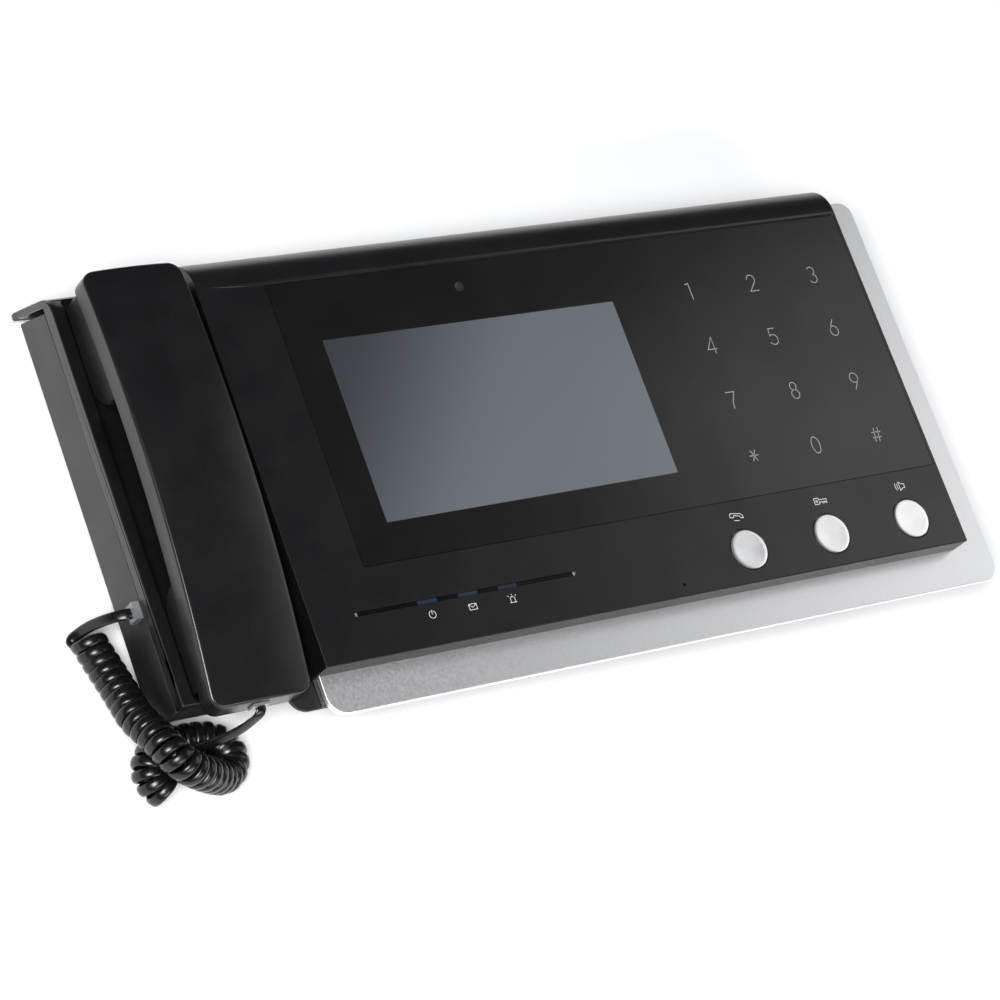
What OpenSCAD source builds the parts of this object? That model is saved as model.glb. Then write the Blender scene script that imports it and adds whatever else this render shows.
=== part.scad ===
// Desk and wall video intercom monitor with a corded handset.
// The monitor lies on its back: +Z comes out of the screen, +Y is up the face and +X is to the right.
// The origin is at the middle of the footprint, on the plane that the rubber pads rest on.

/* [Overall] */
// Width from the cradle's left wall to the trim plate's right edge
overall_w = 431; // [415:1:520]
// Height from the trim plate's bottom edge to the hood's back edge
overall_h = 218; // [210:1:262]
// Height of the main face above the resting plane
face_z = 54; // [50:0.5:66]
// Wall thickness of the mouldings
wall = 2.5; // [2:0.1:3.2]
// Air left between two parts that slide into one another
fit_gap = 0.3; // [0.2:0.05:0.5]

/* [Front cover] */
// Width of the cradle, left of the front cover
cradle_w = 60.4; // [58:0.2:73]
// Depth of the front cover's side walls
cover_d = 11; // [10:0.5:13]
// Radius of the rolled top edge
hood_r = 17; // [14:0.5:20]
// Backward slope of the hood and the cradle's flange, in degrees
hood_slope = 16; // [8:1:20]
// Thickness of the front wall
front_t = 3.2; // [2.8:0.1:4]
// Diameter of the microphone hole
mic_hole_d = 1.4; // [1:0.1:2]
// Place of the microphone hole from the cover's left and bottom edges
mic_at = [186.4, 5.5];

/* [Touch panel] */
// Thickness of the glass
glass_t = 1.8; // [1.1:0.1:2]
// Front cover's left edge to the glass
glass_left = 33; // [28:0.5:40]
// Front cover's right edge to the glass
glass_right = 2; // [2:0.5:6]
// Front cover's bottom edge to the glass
glass_bottom = 39.8; // [36:0.2:46]
// Start of the rolled edge to the glass
glass_top = 2.3; // [1:0.1:6]
// Dark seam around the glass
glass_gap = 0.25; // [0.15:0.05:0.5]

/* [Screen] */
// Visible width of the 7-inch panel
screen_w = 154.08; // [140:0.01:158]
// Visible height of the 7-inch panel
screen_h = 85.92; // [78:0.01:90]
// Glass's left edge to the visible screen
screen_left = 18.1; // [12:0.1:24]
// Glass's bottom edge to the visible screen
screen_bottom = 17.5; // [12:0.1:24]
// Border of the panel's metal frame around the visible screen
panel_border = 5.5; // [4:0.5:8]
// Thickness of the panel
panel_t = 5.5; // [3.5:0.1:6]

/* [Touch keys] */
// Column spacing of the twelve touch keys
key_dx = 36.4; // [30:0.1:38]
// Row spacing of the twelve touch keys
key_dy = 28; // [24:0.1:30]
// Glass's right edge to the middle of the right-hand column
key_right = 26.2; // [22:0.1:30]
// Glass's bottom edge to the middle of the bottom row
key_bottom = 19.2; // [16:0.1:22]
// Bare board around the outer keys
key_margin = 17; // [12:0.5:18]

/* [Push buttons] */
// Diameter of the metal button caps
button_d = 19.2; // [16:0.1:21]
// Spacing of the three buttons
button_dx = 47.9; // [40:0.1:52]
// Cover's right edge to the middle of the right-hand button
button_right = 27.4; // [24:0.1:34]
// Cover's bottom edge to the middle of the buttons
button_bottom = 15.8; // [13:0.1:18]
// Travel of the buttons
button_travel = 0.8; // [0.5:0.1:1]
// Air around each button cap
button_gap = 0.4; // [0.3:0.05:0.6]
// How far the caps stand proud of the face
button_proud = 0.5; // [0:0.1:1.5]

/* [Status light] */
// Length of the light groove
light_l = 112.6; // [100:0.1:120]
// Width of the light groove
light_w = 1.9; // [1.5:0.1:2.5]
// Cover's left edge to the light groove
light_left = 21; // [15:0.5:28]
// Cover's bottom edge to the middle of the light groove
light_bottom = 20; // [17:0.1:24]
// Spacing of the three lamps
lamp_dx = 20.4; // [18:0.1:24]
// Groove's left end to the first lamp
lamp_left = 36.1; // [30:0.1:40]

/* [Trim plate] */
// Thickness of the aluminium plate
plate_t = 3; // [2:0.1:4]
// How far the plate shows beyond the cover's right edge
plate_side = 20.2; // [12:0.1:24]
// How far the plate shows below the cover's bottom edge
plate_drop = 17.7; // [12:0.1:22]
// Radius of the plate's bottom corners
plate_r = 9; // [4:0.5:12]
// Radius of the plate's top right corner
plate_top_r = 7; // [3:0.5:10]
// How far the plate's left end lies inside the cover's left end
plate_inset = 1.6; // [1:0.1:4]
// Drop from the roll's widest point to the plate's top edge
plate_top_drop = 8.3; // [7:0.1:10]

/* [Rear cover] */
// Height of the wall bracket under the rear cover
bracket_h = 6.5; // [5:0.5:9]
// Thickness of the rubber pads
pad_t = 1.5; // [1:0.1:2]
// Radius of the rounded lower back edge
rear_r = 14; // [8:0.5:16]
// How far the right-hand wall lies inside the front cover's end
rear_inset = 6; // [4:0.5:12]
// Thickness of the frame that backs the trim plate
lip_t = 3; // [2:0.1:4]
// How far the frame lies inside the trim plate's edge
lip_inset = 5.5; // [4:0.5:8]
// How far the frame's foot reaches left of the front cover
lip_foot = 13; // [9:0.5:16]
// Thickness of the frame's foot, under the handset's lower end
lip_foot_t = 1.6; // [1:0.1:1.8]
// Thickness of the cradle's flange
flange_t = 3.6; // [2.5:0.1:4]
// Open slot between the cradle's flange and the rear cover
flange_slot = 2.3; // [1:0.1:3]

/* [Cradle] */
// Step from the main face down to the cradle's rim
cradle_step = 15; // [12:0.5:18]
// Depth of the cradle's rim above the seam
rim_d = 7; // [6:0.5:9]
// Width of the cradle's rim
rim_w = 5.7; // [4:0.1:7]
// Radius of the rolled top of the cradle
cradle_r = 10.2; // [8:0.1:12]
// Step from the hood's back edge down to the flange's back edge
flange_step = 6.3; // [4:0.1:8]
// Depth of the handset pocket
pocket_d = 6; // [4:0.5:8]

/* [Handset] */
// Length of the handset
handset_l = 192.3; // [180:0.1:205]
// Width of the handset
handset_w = 46.8; // [42:0.1:50]
// How far the handset hangs over the cradle's bottom edge
handset_drop = 6.9; // [3:0.1:10]
// Radius of the arched front, seen from the side
arch_r = 560; // [450:10:800]
// Distance from the handset's lower end to the top of the arch
arch_at = 125.2; // [100:0.1:140]
// Height of the arch's edges above the main face
arch_over = 9.5; // [8:0.1:14]
// Radius of the crown across the front
crown_r = 185; // [120:5:300]
// Depth of the front shell's side band
band_d = 10; // [8:0.1:11]
// Radius of the handset's corners, seen from the front
handset_r = 6; // [4:0.5:10]
// Depth of the handle below the side band
handle_d = 3; // [2:0.1:4]
// Length of the earpiece pod along the back
ear_pod_l = 50; // [44:0.5:56]
// Length of the mouthpiece pod along the back
mouth_pod_l = 46; // [40:0.5:52]
// Radius of the inner end of each pod
pod_r = 13; // [8:0.5:15]
// Lift of the handset that the joint allows
handset_lift = 60; // [30:1:80]

/* [Hook switch] */
// Diameter of the hook plunger
plunger_d = 8; // [6:0.1:10]
// Travel of the hook plunger
plunger_travel = 3.5; // [2:0.1:5]
// Running gap around the plunger
plunger_gap = 0.1; // [0.06:0.01:0.1]

/* [Sockets] */
// Handset jack's height above the resting plane
jack_z = 27.2; // [24:0.1:27.4]
// Cover's bottom edge to the middle of the handset jack
jack_bottom = 46.3; // [40:0.1:60]
// Handset plug's width and height
plug_w = 7.65; // [7.65:0.01:7.65]
plug_h = 6.6; // [6.6:0.01:6.6]

/* [Curly cord] */
// Outer diameter of the coils
coil_d = 15.6; // [14:0.1:15.6]
// Width of the flat cord
flat_w = 4.8; // [4:0.1:5]
// Thickness of the flat cord
flat_t = 2.7; // [2:0.1:2.8]
// Middle line of the coils, from the monitor's end to the handset's end
coil_route = [
    [-231, -47.5, 7.8], [-229, -55.5, 8], [-227.6, -63, 9.3], [-226.6, -70.5, 11.3], [-226.1, -78, 13.8],
    [-226, -85.5, 17.3], [-224.5, -92.5, 21.3], [-222.9, -98.8, 24.8], [-221.2, -104.4, 26.8],
    [-218.6, -109.2, 27.1], [-214, -112.9, 25.3], [-207.5, -115, 21.3], [-201, -115.8, 16.3],
    [-195, -115.8, 11.3], [-190, -114.5, 8.6], [-186.2, -111, 7.8], [-185.5, -106.2, 7.8],
    [-188, -101.6, 7.8], [-193, -98.6, 7.8], [-199.5, -97.6, 7.8], [-206.5, -97.6, 7.8],
    [-213.5, -98.4, 7.8], [-219, -100.6, 7.8], [-222.3, -104.4, 7.8], [-223, -109.2, 7.8],
    [-221.8, -113, 7.8], [-219.4, -116, 7.8],
];
// Middle line of the flat lead at the monitor's end
base_route = [
    [-218.5, -45, 27.2], [-221, -45, 27], [-224.5, -44.4, 24.6], [-228, -43.6, 19.5], [-231, -43, 13.5],
    [-233.6, -43.2, 7.6], [-236.2, -44.6, 4], [-236, -47.4, 3.8], [-234, -50, 4],
];
// Middle line of the flat lead at the handset's end
handset_route = [
    [-185.2, -99.35, 44.7], [-185.2, -100.6, 44.7], [-186.2, -102.3, 43], [-188, -103.2, 39.5],
    [-190.5, -104, 35.5], [-194, -104.6, 31.5], [-198.5, -104.8, 27], [-203, -104.6, 22.5],
    [-207.5, -104.8, 18.5], [-211, -106.2, 15.6], [-213.2, -109.6, 12.6], [-216, -113.2, 9.8],
    [-219.5, -114.3, 8],
];

/* [Hidden] */

gloss_black = [0.04, 0.04, 0.045];
satin_black = [0.09, 0.09, 0.095];
steel = [0.72, 0.73, 0.75];
silver = [0.83, 0.84, 0.86];
board_green = [0.05, 0.28, 0.14];
round_fn = 96;
small_fn = 48;
eps = 0.01;

// Places of the outer edges
left_x = -overall_w / 2;
right_x = overall_w / 2;
bottom_y = -overall_h / 2;
top_y = overall_h / 2;
cover_x0 = left_x + cradle_w;
cover_x1 = right_x - plate_side;
cover_y0 = bottom_y + plate_drop;

// Levels above the resting plane
back_z = pad_t + bracket_h;
plate_front_z = face_z - cover_d;
plate_back_z = plate_front_z - plate_t;
lip_back_z = plate_back_z - lip_t;
cradle_z = face_z - cradle_step;
seam_z = cradle_z - rim_d;
floor_z = cradle_z - pocket_d;
inner_z = face_z - front_t;
glass_back_z = face_z - glass_t;

// The rolled edges: the height where each roll starts, and the back edge of the cradle's flange
function roll_y(front_z, roll_r, end_y) =
    end_y - (front_z - roll_r + roll_r * sin(hood_slope) - back_z) * tan(hood_slope) - roll_r * cos(hood_slope);
hood_y = roll_y(face_z, hood_r, top_y);
flange_end_y = top_y - flange_step;
cradle_roll_y = roll_y(cradle_z, cradle_r, flange_end_y);
plate_y1 = hood_y + hood_r - plate_top_drop;
function rear_top_y(z, grow) =
    flange_end_y + (grow - flange_t - flange_slot) / cos(hood_slope) - (z - back_z) * tan(hood_slope);
rear_x1 = cover_x1 - rear_inset;

// Touch glass, screen and keys
glass_x0 = cover_x0 + glass_left;
glass_x1 = cover_x1 - glass_right;
glass_y0 = cover_y0 + glass_bottom;
glass_y1 = hood_y - glass_top;
screen_x0 = glass_x0 + screen_left;
screen_y0 = glass_y0 + screen_bottom;
panel_x0 = screen_x0 - panel_border;
panel_y0 = screen_y0 - panel_border;
panel_w = screen_w + 2 * panel_border;
panel_h = screen_h + 2 * panel_border;
panel_back_z = glass_back_z - panel_t - 0.1;
bracket_ear = 7;
panel_bracket_t = 1;
key_x0 = glass_x1 - key_right - 2 * key_dx;
key_y0 = glass_y0 + key_bottom;
board_t = 1.6;

// Push buttons, from left to right
function button_at(i) = [cover_x1 - button_right - (2 - i) * button_dx, cover_y0 + button_bottom];
button_flange_d = button_d + 2.4;
button_cap_z = inner_z - 1.2;
switch_h = 3.6;
button_board_z = button_cap_z - 0.3 - button_travel - switch_h - board_t;

// Status light and microphone
light_x0 = cover_x0 + light_left;
light_y = cover_y0 + light_bottom;
led_board_z = inner_z - 4;
mic_xy = [cover_x0 + mic_at[0], cover_y0 + mic_at[1]];
mic_d = 4;

// Case screws: four through the front cover's corners and two through the cradle
case_screw_in = 11;
case_boss_d = 8;
case_screw_x = [cover_x0 + case_screw_in, rear_x1 - wall - case_boss_d / 2 - 0.2];
case_hole_d = 2.6;
case_screw_xy = [
    for (x = case_screw_x, y = [plate_y1 - case_screw_in - 3, cover_y0 + case_screw_in]) [x, y],
];
cradle_screw_xy = [
    for (y = [cover_y0 + 8, cradle_roll_y - 8]) [left_x + cradle_w / 2, y],
];
screw_shaft_d = 3;
screw_head_d = 5.6;
screw_web = 3;
case_joint_z = lip_back_z - 5;
cradle_joint_z = floor_z - wall - 6;

// Main board on its pillars
main_w = 150;
main_h = 112;
main_x0 = cover_x0 + 34;
main_y0 = cover_y0 + wall + 2;
main_z = back_z + 11;
main_hole_in = 5;
main_hole_xy = [
    for (x = [main_hole_in, main_w - main_hole_in], y = [main_hole_in + 22, main_h - main_hole_in])
        [main_x0 + x, main_y0 + y],
];

// Sockets on the main board's lower edge: [offset from the board's left edge, width, height, depth]
ethernet_at = 20;
ethernet_size = [16, 21, 13.5];
ethernet_hole = [11.8, 12, 8];
power_at = 50;
power_size = [9, 14, 11];
power_hole_d = 6.4;
power_pin_d = 2;
terminal_at = 72;
terminal_n = 8;
terminal_pitch = 3.81;
terminal_size = [terminal_n * terminal_pitch + 1, 12, 9];

// Handset pocket and the handset over it
handset_x = left_x + rim_w + fit_gap + 0.9 + handset_w / 2;
handset_y0 = cover_y0 - handset_drop;
arch_y = handset_y0 + arch_at;
arch_top_z = face_z + arch_over;
arch_c = [arch_y, arch_top_z - arch_r];
pod_w = handset_w - 3.6;
pod_z = floor_z + fit_gap;
ear_y1 = handset_y0 + handset_l - 4;
mouth_y0 = handset_y0 + 11;
shell_t = 2;
pocket_x0 = left_x + rim_w;
pocket_x1 = cover_x0 - fit_gap - 1.6;
pocket_y0 = mouth_y0 - 3;
pocket_y1 = ear_y1 + 3;
pocket_r = 3;
ear_y = ear_y1 - 23;
mouth_y = mouth_y0 + 20;
capsule_d = 26;
handset_screw_xy = [[handset_x, ear_y1 - 5.5], [handset_x, mouth_y0 + 5.5]];
handset_boss_z = pod_z + 8;
handset_plug_z = arch_c[1] + sqrt(arch_r * arch_r - pow(handset_y0 - arch_y, 2)) - 4.6;

// Hook switch, under the earpiece pod's lower end
hook_xy = [handset_x, ear_y1 - ear_pod_l + pod_r + 6];
plunger_flange_d = plunger_d + 3;
plunger_flange_t = 1.2;
hook_floor = 2;
plunger_flange_z = floor_z - hook_floor - plunger_travel - plunger_flange_t - 0.2;
hook_board_z = back_z + wall + 1;
spring_wire = 0.6;
spring_turns = 5;

// Loudspeaker behind the grille in the pocket's floor
speaker_d = 36;
speaker_y = (ear_y1 - ear_pod_l + mouth_y0 + mouth_pod_l) / 2 - 3;
speaker_t = 11;
grille_hole_d = 2.2;
grille_step = 4;
grille_n = 3;

// Handset jack in the left wall
jack_y = cover_y0 + jack_bottom;
jack_size = [13, 10.5];
jack_below = 5;
jack_above = 4.1;
jack_clear = 0.15;
base_plug_out = 3;
handset_plug_out = 1;
plug_in = 10;

// Wall bracket
bracket_t = 1.5;
bracket_x0 = left_x + 12;
bracket_x1 = rear_x1 - 8;
bracket_y0 = cover_y0 + rear_r + 4;
bracket_y1 = flange_end_y - 8;
bracket_r = 6;
tab_w = 30;
box_screw_dx = 60;
box_screw_d = 4.5;
wall_screw_dx = 280;
wall_screw_dy = 110;
wall_screw_d = 5;
pad_d = 14;
pad_in = 14;
bracket_screw_d = 4.2;
bracket_screw_xy = [for (x = [-1, 1], y = [-1, 1]) [x * 110, y * 40 + 5]];
bracket_post_d = 11;

// ---- Shapes used by several parts ----

// Extrudes a profile drawn in (y, z) from x0 to x1
module along_x(x0, x1) {
    translate([x0, 0, 0]) rotate([90, 0, 90]) linear_extrude(x1 - x0) children();
}

// Box given by its two opposite corners
module box(a, b) {
    translate(a) cube(b - a);
}

// Flat outline with its own radius at each corner, from the lower left one anticlockwise
module rounded_outline(a, b, radii) {
    corners = [a, [b[0], a[1]], b, [a[0], b[1]]];
    inward = [[1, 1], [-1, 1], [-1, -1], [1, -1]];
    difference() {
        translate(a) square(b - a);
        for (i = [0:3]) if (radii[i] > 0)
            translate(corners[i] - inward[i] * eps)
                mirror([inward[i][0] < 0 ? 1 : 0, 0]) mirror([0, inward[i][1] < 0 ? 1 : 0])
                    difference() {
                        square(radii[i] + eps);
                        translate([radii[i] + eps, radii[i] + eps]) circle(r = radii[i], $fn = small_fn);
                    }
    }
}

// Side section of a cover: a flat front, a rolled top edge and a flange that slopes back to back_z
module hood_profile(front_z, roll_r, end_y, y0, inset) {
    c = [roll_y(front_z, roll_r, end_y), front_z - roll_r];
    r = roll_r - inset;
    tip = c + r * [cos(hood_slope), sin(hood_slope)];
    run = (tip[1] - back_z + inset) / cos(hood_slope);
    tail = tip + run * [sin(hood_slope), -cos(hood_slope)];
    translate([y0 + inset, back_z - inset]) square([c[0] - y0 - inset, front_z - back_z]);
    translate(c) circle(r = r, $fn = round_fn);
    polygon([c, tip, tail, [c[0], tail[1]]]);
}

// Side section of the rear cover up to the height z1: a sloping top and a round lower back edge
module rear_profile(z1, grow) {
    y0 = cover_y0 - grow;
    z0 = back_z - grow;
    r = rear_r + grow;
    polygon([[y0 + r, z0], [rear_top_y(z0, grow), z0], [rear_top_y(z1, grow), z1], [y0, z1], [y0, z0 + r]]);
    translate([y0 + r, z0 + r]) circle(r = r, $fn = round_fn);
}

// Pan-head screw with its head at the bottom, at z = 0
module pan_screw(length) {
    cylinder(d = screw_head_d, h = 2, $fn = small_fn);
    cylinder(d = screw_shaft_d, h = 2 + length, $fn = small_fn);
    translate([0, 0, -eps]) cylinder(d = screw_head_d - 1.6, h = 1, $fn = small_fn);
}

// Tube around a vertical axis
module tube(outer_d, inner_d, h) {
    difference() {
        cylinder(d = outer_d, h = h, $fn = small_fn);
        translate([0, 0, -1]) cylinder(d = inner_d, h = h + 2, $fn = small_fn);
    }
}

// ---- Front cover, glass and screen ----

module front_cover() color(gloss_black) {
    difference() {
        union() {
            difference() {
                along_x(cover_x0, cover_x1) hood_profile(face_z, hood_r, top_y, cover_y0, 0);
                along_x(cover_x0 + wall, cover_x1 - wall) intersection() {
                    hood_profile(face_z, hood_r, top_y, cover_y0, wall);
                    translate([cover_y0 + wall, back_z - wall]) square([overall_h, inner_z - back_z + wall]);
                }
                // Open back, with a thin skirt beside the trim plate's left end
                box([cover_x0 + plate_inset - fit_gap, cover_y0 - 1, 0], [cover_x1 + 1, plate_y1 + fit_gap, plate_front_z]);
                box([cover_x0 - 1, cover_y0 - 1, 0], [cover_x1, plate_y1 + fit_gap, plate_back_z]);
                along_x(cover_x0 - 1, rear_x1 + fit_gap) rear_profile(lip_back_z, fit_gap);
            }
            for (p = case_screw_xy) translate([p[0], p[1], case_joint_z])
                cylinder(d = case_boss_d, h = inner_z - case_joint_z + eps, $fn = small_fn);
        }
        // Recess for the glass, then the openings for the panel, the sensor and the connector
        translate([0, 0, glass_back_z]) linear_extrude(face_z) rounded_outline(
            [glass_x0 - glass_gap, glass_y0 - glass_gap], [glass_x1 + glass_gap, glass_y1 + glass_gap],
            [1, 1.5, 1, 1]);
        box([panel_x0 - fit_gap, panel_y0 - fit_gap, back_z],
            [panel_x0 + panel_w + fit_gap, panel_y0 + panel_h + fit_gap, face_z]);
        translate([screen_x0 + screen_w / 2, glass_y1 - 11.9, back_z]) cylinder(d = 5.2, h = face_z, $fn = small_fn);
        // Light groove, microphone hole and button holes
        translate([0, 0, back_z]) linear_extrude(face_z) rounded_outline(
            [light_x0, light_y - light_w / 2], [light_x0 + light_l, light_y + light_w / 2], light_w * [1, 1, 1, 1] / 2.01);
        translate([mic_xy[0], mic_xy[1], back_z]) cylinder(d = mic_hole_d, h = face_z, $fn = small_fn);
        for (i = [0:2]) translate([button_at(i)[0], button_at(i)[1], back_z])
            cylinder(d = button_d + 2 * button_gap, h = face_z, $fn = round_fn);
        for (p = case_screw_xy) translate([p[0], p[1], case_joint_z - 1])
            cylinder(d = case_hole_d, h = 10, $fn = small_fn);
    }
}

module touch_glass() color([0.02, 0.02, 0.025]) {
    translate([0, 0, glass_back_z + 0.02]) linear_extrude(glass_t - 0.02)
        rounded_outline([glass_x0, glass_y0], [glass_x1, glass_y1], [0.8, 1.2, 0.8, 0.8]);
}

module lcd_panel() color([0.55, 0.62, 0.72]) {
    box([panel_x0, panel_y0, panel_back_z], [panel_x0 + panel_w, panel_y0 + panel_h, panel_back_z + panel_t - 0.6]);
    translate([screen_x0, screen_y0, panel_back_z]) cube([screen_w, screen_h, panel_t]);
}

module lcd_bracket() color(steel) {
    z = panel_back_z - panel_bracket_t;
    difference() {
        box([panel_x0 - bracket_ear, panel_y0 + 6, z], [panel_x0 + panel_w + bracket_ear, panel_y0 + panel_h - 6, z + 1]);
        box([panel_x0 + 22, panel_y0 + 20, 0], [panel_x0 + panel_w - 22, panel_y0 + panel_h - 20, face_z]);
        for (x = [panel_x0 - bracket_ear / 2, panel_x0 + panel_w + bracket_ear / 2], y = [14, panel_h - 14])
            translate([x, panel_y0 + y, 0]) cylinder(d = 3.2, h = face_z, $fn = small_fn);
    }
}

module touch_board() color(board_green) {
    translate([0, 0, inner_z - board_t - 0.05]) difference() {
        linear_extrude(board_t) rounded_outline([key_x0 - key_margin, key_y0 - key_margin + 1],
            [key_x0 + 2 * key_dx + key_margin, key_y0 + 3 * key_dy + key_margin], [2, 2, 2, 2]);
        for (x = [3.5 - key_margin, 2 * key_dx + key_margin - 3.5], y = [4.5 - key_margin, 3 * key_dy + key_margin - 3.5])
            translate([key_x0 + x, key_y0 + y, -1]) cylinder(d = 3, h = 5, $fn = small_fn);
    }
    // Connector that takes the ribbon to the main board
    translate([key_x0 + key_dx - 9, key_y0 + key_dy, inner_z - board_t - 3]) cube([18, 6, 3 - eps]);
}

module sensor_lens() color([0.25, 0.27, 0.3]) {
    translate([screen_x0 + screen_w / 2, glass_y1 - 11.9, inner_z - 3]) {
        cylinder(d = 4.6, h = glass_back_z - inner_z + 2.9, $fn = small_fn);
        cylinder(d = 8, h = 2.9, $fn = small_fn);
    }
}

module microphone() color(steel) {
    translate([mic_xy[0], mic_xy[1], inner_z - 4.2]) cylinder(d = mic_d - 0.1, h = 2.6, $fn = small_fn);
}

module mic_boot() color([0.12, 0.12, 0.12]) {
    translate([mic_xy[0], mic_xy[1], inner_z - 4.2]) {
        tube(mic_d + 1.6, mic_d, 2.7);
        translate([0, 0, 2.7 - eps]) tube(mic_d + 1.6, mic_hole_d + 1, 1.4);
    }
}

// ---- Push buttons and status light ----

module button(i) color(silver) {
    translate([button_at(i)[0], button_at(i)[1], 0]) {
        translate([0, 0, button_cap_z]) cylinder(d = button_d, h = face_z + button_proud - button_cap_z, $fn = round_fn);
        translate([0, 0, button_cap_z]) cylinder(d = button_flange_d, h = 1, $fn = round_fn);
    }
}
module call_button() button(0);
module unlock_button() button(1);
module speaker_button() button(2);

module button_board() color(board_green) {
    a = button_at(0);
    b = button_at(2);
    translate([0, 0, button_board_z]) linear_extrude(board_t)
        rounded_outline([a[0] - 13, a[1] - 9], [b[0] + 6, b[1] + 9], [2, 2, 2, 2]);
}

module button_switches() color([0.2, 0.2, 0.22]) {
    for (i = [0:2]) translate([button_at(i)[0], button_at(i)[1], button_board_z + board_t]) {
        translate([-3, -3, 0]) cube([6, 6, switch_h - 0.8]);
        cylinder(d = 3.4, h = switch_h, $fn = small_fn);
    }
}

module light_bar() color([0.3, 0.4, 0.6]) {
    gap = 0.1;
    translate([0, 0, inner_z - 1]) linear_extrude(face_z - inner_z + 0.4) rounded_outline(
        [light_x0 + gap, light_y - light_w / 2 + gap], [light_x0 + light_l - gap, light_y + light_w / 2 - gap],
        (light_w / 2 - gap) * [1, 1, 1, 1] / 1.01);
    box([light_x0 + 4, light_y - 2, inner_z - 2.4], [light_x0 + light_l - 4, light_y + 2, inner_z - 0.1]);
}

module led_board() color(board_green) {
    box([light_x0 + 6, light_y - 4, led_board_z - board_t], [light_x0 + light_l - 6, light_y + 4, led_board_z]);
    for (i = [0:2]) translate([light_x0 + lamp_left + i * lamp_dx, light_y, led_board_z])
        translate([-1.6, -1.4, 0]) cube([3.2, 2.8, 1.2]);
}

// ---- Trim plate, rear cover and wall bracket ----

module trim_plate() color(silver) {
    translate([0, 0, plate_back_z]) linear_extrude(plate_t) difference() {
        rounded_outline([cover_x0 + plate_inset, bottom_y], [right_x, plate_y1], [plate_r, plate_r, plate_top_r, 2]);
        rounded_outline([cover_x0 + wall + 4, cover_y0 + wall + 2], [rear_x1 - wall, plate_y1 - 5], [4, 3, 3, 4]);
    }
}

// Frame between the rear cover and the trim plate, with a thin foot under the cradle's corner
module backing_frame() color(satin_black) {
    translate([0, 0, lip_back_z]) linear_extrude(lip_t) difference() {
        rounded_outline([cover_x0, bottom_y + lip_inset], [right_x - lip_inset, plate_y1], [0, 7, 5, 0]);
        rounded_outline([cover_x0 + wall, cover_y0 + wall], [rear_x1 - wall, plate_y1 - wall - 1], [3, 3, 3, 3]);
    }
    translate([0, 0, lip_back_z]) linear_extrude(lip_foot_t)
        rounded_outline([cover_x0 - lip_foot, bottom_y + lip_inset], [cover_x0 + 1, cover_y0 - fit_gap], [8, 0, 0, 0]);
}

module rear_cover() color(satin_black) {
    difference() {
        union() {
            difference() {
                along_x(left_x, rear_x1) rear_profile(lip_back_z, 0);
                along_x(left_x + wall, rear_x1 - wall) rear_profile(face_z, -wall);
                box([left_x - 1, cover_y0 - 1, seam_z], [cover_x0 - fit_gap, top_y, face_z]);
            }
            for (p = case_screw_xy) translate([p[0], p[1], back_z])
                cylinder(d = case_boss_d + 1, h = case_joint_z - back_z, $fn = small_fn);
            for (p = cradle_screw_xy) translate([p[0], p[1], back_z])
                cylinder(d = case_boss_d + 1, h = cradle_joint_z - back_z, $fn = small_fn);
            for (p = main_hole_xy) translate([p[0], p[1], back_z])
                cylinder(d = 7, h = main_z - back_z, $fn = small_fn);
            for (p = bracket_screw_xy) translate([p[0], p[1], back_z]) cylinder(d = 9, h = 9, $fn = small_fn);
            // Walls of the loudspeaker chamber and of the hook switch
            translate([handset_x, speaker_y, back_z]) tube(speaker_d + 5, speaker_d + 2, 5);
        }
        for (p = case_screw_xy) translate([p[0], p[1], 0]) {
            cylinder(d = screw_head_d + 0.8, h = case_joint_z - screw_web, $fn = small_fn);
            cylinder(d = screw_shaft_d + 0.4, h = face_z, $fn = small_fn);
        }
        for (p = cradle_screw_xy) translate([p[0], p[1], 0]) {
            cylinder(d = screw_head_d + 0.8, h = cradle_joint_z - screw_web, $fn = small_fn);
            cylinder(d = screw_shaft_d + 0.4, h = face_z, $fn = small_fn);
        }
        for (p = main_hole_xy) translate([p[0], p[1], back_z + 3]) cylinder(d = 2.5, h = 20, $fn = small_fn);
        for (p = bracket_screw_xy) translate([p[0], p[1], 0]) cylinder(d = case_hole_d, h = back_z + 8, $fn = small_fn);
        // Openings for the handset jack and for the sockets on the lower edge
        box([left_x - 1, jack_y - plug_w / 2 - jack_clear, jack_z - plug_h / 2 - jack_clear],
            [left_x + wall + 1, jack_y + plug_w / 2 + jack_clear, jack_z + plug_h / 2 + jack_clear]);
        socket_cut(ethernet_at, ethernet_size);
        socket_cut(power_at, power_size);
        socket_cut(terminal_at, terminal_size);
        // Cable channel across the back
        for (i = [-4:4]) box([i * 8 - 90, cover_y0 + 30, 0], [i * 8 - 87, cover_y0 + 60, back_z + wall + 1]);
    }
}

// Cuts the lower wall around a socket that stands on the main board
module socket_cut(at, size) {
    x = main_x0 + at;
    box([x - fit_gap, cover_y0 - 1, main_z + board_t - fit_gap],
        [x + size[0] + fit_gap, cover_y0 + wall + 1, main_z + board_t + size[2] + fit_gap]);
}

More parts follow.
